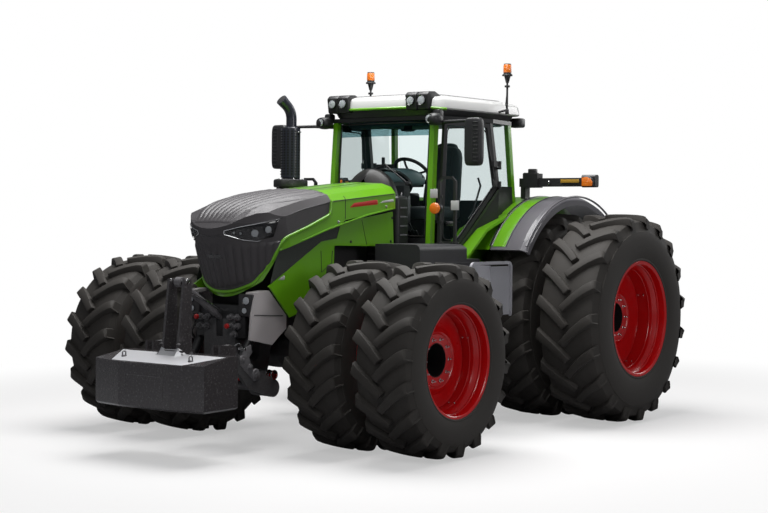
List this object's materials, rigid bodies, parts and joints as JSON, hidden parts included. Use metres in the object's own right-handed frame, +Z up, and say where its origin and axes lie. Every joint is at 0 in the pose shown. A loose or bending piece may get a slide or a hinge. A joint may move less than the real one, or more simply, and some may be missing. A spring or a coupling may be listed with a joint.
{
  "type": "farm tractor",
  "caption": "Large four-wheel-drive farm tractor on twin wheels, with a glazed cab, a long bonnet and a ballast block on its front linkage.",
  "frame": {"origin": "on the ground, in the middle of the tractor's length and width", "axes": "+X forward, +Y to the driver's left, +Z up"},
  "size_m": [6.36, 4.22, 3.714],
  "materials": {
    "green_paint": "gloss",
    "grey_plastic": "matte",
    "charcoal_plastic": "satin",
    "black_metal": "satin",
    "cast_grey": "painted",
    "ballast_grey": "painted",
    "tyre_rubber": "matte",
    "rim_red": "gloss",
    "white_plastic": "gloss",
    "tinted_glass": "clear",
    "amber_lamp": "gloss",
    "seat_fabric": "woven",
    "bright_steel": "polished"
  },
  "bodies": {
    "chassis": {"beacons": "amber_lamp", "cab_bulkheads": "black_metal", "cab_floor": "charcoal_plastic", "cab_posts": "green_paint", "cab_ring": "black_metal", "cab_roof": "white_plastic", "cab_sides": "black_metal", "cowl": "charcoal_plastic", "engine_block": "cast_grey", "engine_panels": "green_paint", "exhaust_stack": "black_metal", "fender_extensions": "grey_plastic", "front_axle": "cast_grey", "front_cover": "grey_plastic", "front_frame": "cast_grey", "handrails": "black_metal", "hitch": "black_metal", "lift_housing": "cast_grey", "marker_bars": "black_metal", "mirrors": "charcoal_plastic", "rear_axle": "cast_grey", "rear_fenders": "green_paint", "rear_glass": "tinted_glass", "roof_lamps": "charcoal_plastic", "seat": "seat_fabric", "seat_base": "charcoal_plastic", "side_tanks": "grey_plastic", "steering_column": "charcoal_plastic", "steps": "grey_plastic", "transmission_housing": "cast_grey", "windscreen": "tinted_glass"},
    "wheel_front_left": {"tyres_front_left": "tyre_rubber", "rims_front_left": "rim_red"},
    "wheel_front_right": {"tyres_front_right": "tyre_rubber", "rims_front_right": "rim_red"},
    "wheel_rear_left": {"tyres_rear_left": "tyre_rubber", "rims_rear_left": "rim_red"},
    "wheel_rear_right": {"tyres_rear_right": "tyre_rubber", "rims_rear_right": "rim_red"},
    "steer_left": {"knuckle_left": "cast_grey"},
    "steer_right": {"knuckle_right": "cast_grey"},
    "left_door": {"door_left": "cast_grey", "door_glass_left": "tinted_glass"},
    "right_door": {"door_right": "cast_grey", "door_glass_right": "tinted_glass"},
    "bonnet": {"bonnet_shell": "green_paint", "bonnet_grille": "charcoal_plastic"},
    "lower_arms": {"front_arms": "black_metal"},
    "ballast": {"front_weight": "ballast_grey"},
    "top_link": {"front_top_link": "black_metal"},
    "lift_barrels": {"front_cylinder_barrels": "black_metal"},
    "lift_rods": {"front_cylinder_rods": "bright_steel"},
    "hitch_arms": {"rear_lift_arms": "black_metal"},
    "hitch_links": {"rear_links": "black_metal"},
    "hitch_rods": {"rear_lift_rods": "black_metal"}
  },
  "joints": [
    {"name": "rear_left_spin", "type": "hinge", "parent": "chassis", "child": "wheel_rear_left", "pos_m": [-1.9, 1.374, 1.081], "axis": [0, 1, 0], "continuous": true},
    {"name": "steering", "type": "hinge", "parent": "chassis", "child": "steer_left", "pos_m": [1.4, 0.6, 0.856], "axis": [0, 0, 1], "range_deg": [-20, 20]},
    {"name": "front_left_spin", "type": "hinge", "parent": "steer_left", "child": "wheel_front_left", "pos_m": [1.4, 1.393, 0.856], "axis": [0, 1, 0], "continuous": true},
    {"name": "left_door_hinge", "type": "hinge", "parent": "chassis", "child": "left_door", "pos_m": [-1.088, 0.862, 2.5], "axis": [0, 0, 1], "range_deg": [0, 70]},
    {"name": "rear_right_spin", "type": "hinge", "parent": "chassis", "child": "wheel_rear_right", "pos_m": [-1.9, -1.374, 1.081], "axis": [0, 1, 0], "continuous": true},
    {"name": "steering_right", "type": "hinge", "parent": "chassis", "child": "steer_right", "pos_m": [1.4, -0.6, 0.856], "axis": [0, 0, 1], "range_deg": [-20, 20]},
    {"name": "front_right_spin", "type": "hinge", "parent": "steer_right", "child": "wheel_front_right", "pos_m": [1.4, -1.393, 0.856], "axis": [0, 1, 0], "continuous": true},
    {"name": "right_door_hinge", "type": "hinge", "parent": "chassis", "child": "right_door", "pos_m": [-1.088, -0.862, 2.5], "axis": [0, 0, -1], "range_deg": [0, 70]},
    {"name": "bonnet_hinge", "type": "hinge", "parent": "chassis", "child": "bonnet", "pos_m": [0.235, 0, 2.37], "axis": [0, -1, 0], "range_deg": [0, 40]},
    {"name": "front_lift", "type": "hinge", "parent": "chassis", "child": "lower_arms", "pos_m": [1.97, 0, 0.56], "axis": [0, 1, 0], "range_deg": [0, 30]},
    {"name": "ballast_hang", "type": "hinge", "parent": "lower_arms", "child": "ballast", "pos_m": [2.55, 0, 0.93], "axis": [0, 1, 0], "range_deg": [-30, 0]},
    {"name": "top_link_swing", "type": "hinge", "parent": "chassis", "child": "top_link", "pos_m": [2.16, 0, 1.15], "axis": [0, 1, 0], "range_deg": [0, 30]},
    {"name": "lift_barrel_swing", "type": "hinge", "parent": "chassis", "child": "lift_barrels", "pos_m": [2.1, 0, 1.08], "axis": [0, 1, 0], "range_deg": [0, 7.2]},
    {"name": "lift_rod_slide", "type": "slide", "parent": "lift_barrels", "child": "lift_rods", "axis": [0.5603, 0, -0.8283], "range_m": [0, 0.2]},
    {"name": "rear_lift", "type": "hinge", "parent": "chassis", "child": "hitch_arms", "pos_m": [-2.35, 0, 1.33], "axis": [0, 1, 0], "range_deg": [-18, 25]},
    {"name": "rear_link_swing", "type": "hinge", "parent": "chassis", "child": "hitch_links", "pos_m": [-2.16, 0, 0.62], "axis": [0, 1, 0], "range_deg": [-18, 25]},
    {"name": "rear_rod_swing", "type": "hinge", "parent": "hitch_arms", "child": "hitch_rods", "pos_m": [-2.83525, 0, 1.3], "axis": [0, 1, 0], "range_deg": [-25, 18]}
  ],
  "couplings": [
    {"joint": "steering_right", "follows": "steering", "ratio": 1},
    {"joint": "ballast_hang", "follows": "front_lift", "ratio": -1},
    {"joint": "top_link_swing", "follows": "front_lift", "ratio": 1},
    {"joint": "lift_barrel_swing", "follows": "front_lift", "ratio": 0.235},
    {"joint": "lift_rod_slide", "follows": "front_lift", "m_per_rad": 0.37951},
    {"joint": "rear_link_swing", "follows": "rear_lift", "ratio": 1},
    {"joint": "rear_rod_swing", "follows": "rear_lift", "ratio": -1}
  ]
}
